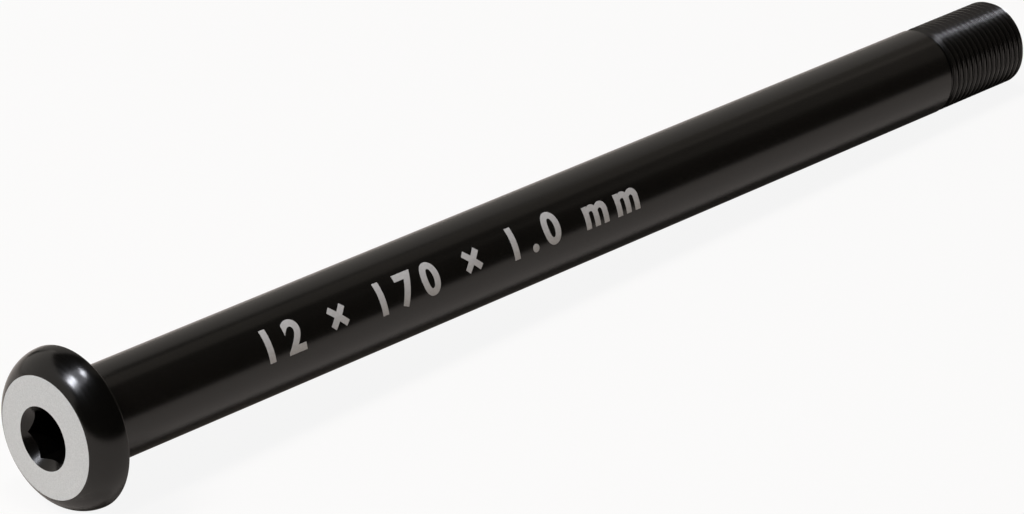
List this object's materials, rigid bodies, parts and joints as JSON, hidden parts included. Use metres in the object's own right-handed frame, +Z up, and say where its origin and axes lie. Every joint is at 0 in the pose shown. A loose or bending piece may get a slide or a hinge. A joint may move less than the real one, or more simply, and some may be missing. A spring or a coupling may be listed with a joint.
{
  "type": "bicycle thru axle",
  "caption": "Bicycle thru axle: a plain round shaft with a low domed head, a hexagon key socket in the bright face of the head and a fine thread on the far end.",
  "frame": {"origin": "on the floor, under the middle of the box of the lying axle", "axes": "+X level along the axle from the head to the threaded end, +Y across it, +Z up; the axle's own axis slopes down by 1.43 degrees towards the threaded end, because the axle rests on the rim of its head and on the threaded end"},
  "size_m": [0.1748, 0.0204, 0.0204],
  "materials": {
    "black_anodised": "turned aluminium, black anodised, satin on the shaft and glossy on the head, with a bare satin ring on the face",
    "bare_aluminium": "bare satin aluminium of the ring on the face and of the size figures, where the black finish is taken off"
  },
  "bodies": {
    "root": {"axle": "black_anodised"}
  },
  "joints": []
}
